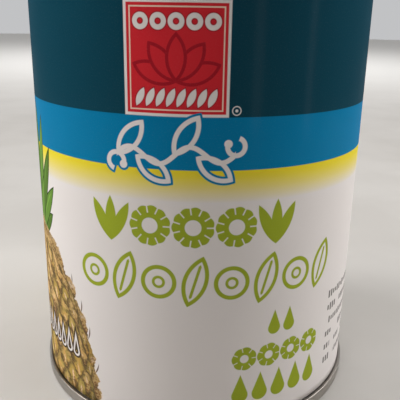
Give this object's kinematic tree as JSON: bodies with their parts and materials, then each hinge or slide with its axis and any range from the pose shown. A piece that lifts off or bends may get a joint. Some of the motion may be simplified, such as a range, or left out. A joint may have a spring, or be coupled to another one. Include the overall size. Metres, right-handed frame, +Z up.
{
  "type": "food can",
  "caption": "Shut round steel food can with seamed, sunk end panels and a wrap-around printed paper label; stands on its base rim and is closed all round.",
  "frame": {"origin": "centre of the base, on the plane that the can stands on", "axes": "+Z up along the can's axis; the front of the label faces -Y and its glued lap is at +Y"},
  "size_m": [0.0874, 0.0874, 0.1159],
  "materials": {
    "body_steel": "satin tinplate",
    "end_steel": "satin tinplate",
    "label_paper": "coated, semi-gloss print"
  },
  "bodies": {
    "root": {"can_body": "body_steel", "top_end": "end_steel", "base_end": "end_steel", "label": "label_paper"}
  },
  "joints": []
}
